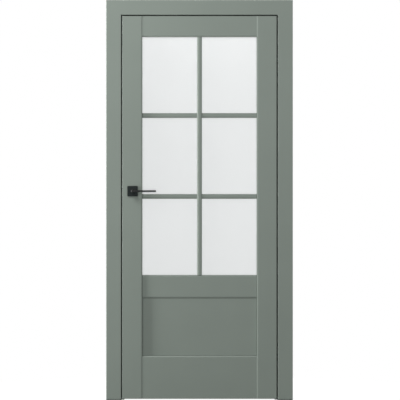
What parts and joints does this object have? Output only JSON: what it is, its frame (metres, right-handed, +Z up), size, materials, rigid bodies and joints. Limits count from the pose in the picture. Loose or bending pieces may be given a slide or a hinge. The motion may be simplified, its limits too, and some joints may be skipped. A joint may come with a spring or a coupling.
{
  "type": "interior door with frame",
  "caption": "Hinged interior door with a glazed upper half, flat lower panel, lever handle, latch and concealed hinges, in a frame with flush casings.",
  "frame": {"origin": "middle of the frame's width on the floor, in the middle of the whole part's depth, which is the leaf's middle plane", "axes": "+X to the right seen from the front, towards the hinges; +Y through the opening from the front to the back; +Z up"},
  "size_m": [0.968, 0.156, 2.077],
  "materials": {
    "painted_wood": "matt",
    "beech": "bare",
    "frosted_glass": "frosted",
    "seal_rubber": "matt",
    "black_metal": "matt",
    "dark_metal": "satin",
    "plain_steel": "satin"
  },
  "bodies": {
    "frame": {"lock_jamb": "painted_wood", "hinge_jamb": "painted_wood", "head_jamb": "painted_wood", "frame_screws": "plain_steel", "lock_seal": "seal_rubber", "hinge_seal": "seal_rubber", "head_seal": "seal_rubber", "front_lock_casing": "painted_wood", "front_hinge_casing": "painted_wood", "front_head_casing": "painted_wood", "back_lock_casing": "painted_wood", "back_hinge_casing": "painted_wood", "back_head_casing": "painted_wood", "strike_plate": "dark_metal", "strike_screws": "dark_metal", "upper_hinge_frame_case": "dark_metal", "lower_hinge_frame_case": "dark_metal", "hinge_frame_pins": "plain_steel", "hinge_frame_screws": "plain_steel"},
    "leaf": {"lock_stile": "painted_wood", "hinge_stile": "painted_wood", "top_rail": "painted_wood", "mid_rail": "painted_wood", "bottom_rail": "painted_wood", "rail_dowels": "beech", "lower_panel": "painted_wood", "pane": "frosted_glass", "glazing_gasket": "seal_rubber", "front_upright_bar": "painted_wood", "front_cross_bar_1": "painted_wood", "front_cross_bar_2": "painted_wood", "front_cross_bar_3": "painted_wood", "front_cross_bar_4": "painted_wood", "back_upright_bar": "painted_wood", "back_cross_bar_1": "painted_wood", "back_cross_bar_2": "painted_wood", "back_cross_bar_3": "painted_wood", "back_cross_bar_4": "painted_wood", "latch_case": "plain_steel", "latch_faceplate": "dark_metal", "faceplate_screws": "dark_metal", "latch_spring": "plain_steel", "front_rose": "black_metal", "back_rose": "black_metal", "rose_bolts": "plain_steel", "upper_hinge_leaf_case": "dark_metal", "lower_hinge_leaf_case": "dark_metal", "hinge_leaf_pins": "plain_steel", "hinge_leaf_screws": "plain_steel"},
    "hinge_frame_arms": {"upper_hinge_frame_arm": "dark_metal", "lower_hinge_frame_arm": "dark_metal", "hinge_centre_pins": "plain_steel"},
    "hinge_leaf_arms": {"upper_hinge_leaf_arm": "dark_metal", "lower_hinge_leaf_arm": "dark_metal"},
    "handle": {"front_lever": "black_metal", "back_lever": "black_metal", "spindle": "plain_steel", "latch_follower": "dark_metal", "grub_screws": "plain_steel"},
    "latch": {"latch_bolt": "dark_metal"}
  },
  "joints": [
    {"name": "leaf_swing", "type": "hinge", "parent": "frame", "child": "leaf", "pos_m": [0.4025, -0.022, 1], "axis": [0, 0, 1], "range_deg": [0, 90]},
    {"name": "hinge_frame_arms_turn", "type": "hinge", "parent": "frame", "child": "hinge_frame_arms", "pos_m": [0.4095, -0.0065, 1], "axis": [0, 0, 1], "range_deg": [0, 82]},
    {"name": "hinge_leaf_arms_turn", "type": "hinge", "parent": "leaf", "child": "hinge_leaf_arms", "pos_m": [0.3955, -0.0065, 1], "axis": [0, 0, 1], "range_deg": [-82, 0]},
    {"name": "handle_turn", "type": "hinge", "parent": "leaf", "child": "handle", "pos_m": [-0.347, 0, 1.085], "axis": [0, 1, 0], "range_deg": [0, 40], "stiffness_Nm_per_rad": 1.5, "springref_deg": -22.92},
    {"name": "latch_slide", "type": "slide", "parent": "leaf", "child": "latch", "axis": [1, 0, 0], "range_m": [0, 0.0121], "deforming": ["latch_spring"]}
  ],
  "couplings": [
    {"joint": "hinge_frame_arms_turn", "follows": "leaf_swing", "ratio": 0.9},
    {"joint": "hinge_leaf_arms_turn", "follows": "leaf_swing", "ratio": -0.9},
    {"joint": "latch_slide", "follows": "handle_turn", "m_per_rad": 0.017189}
  ]
}
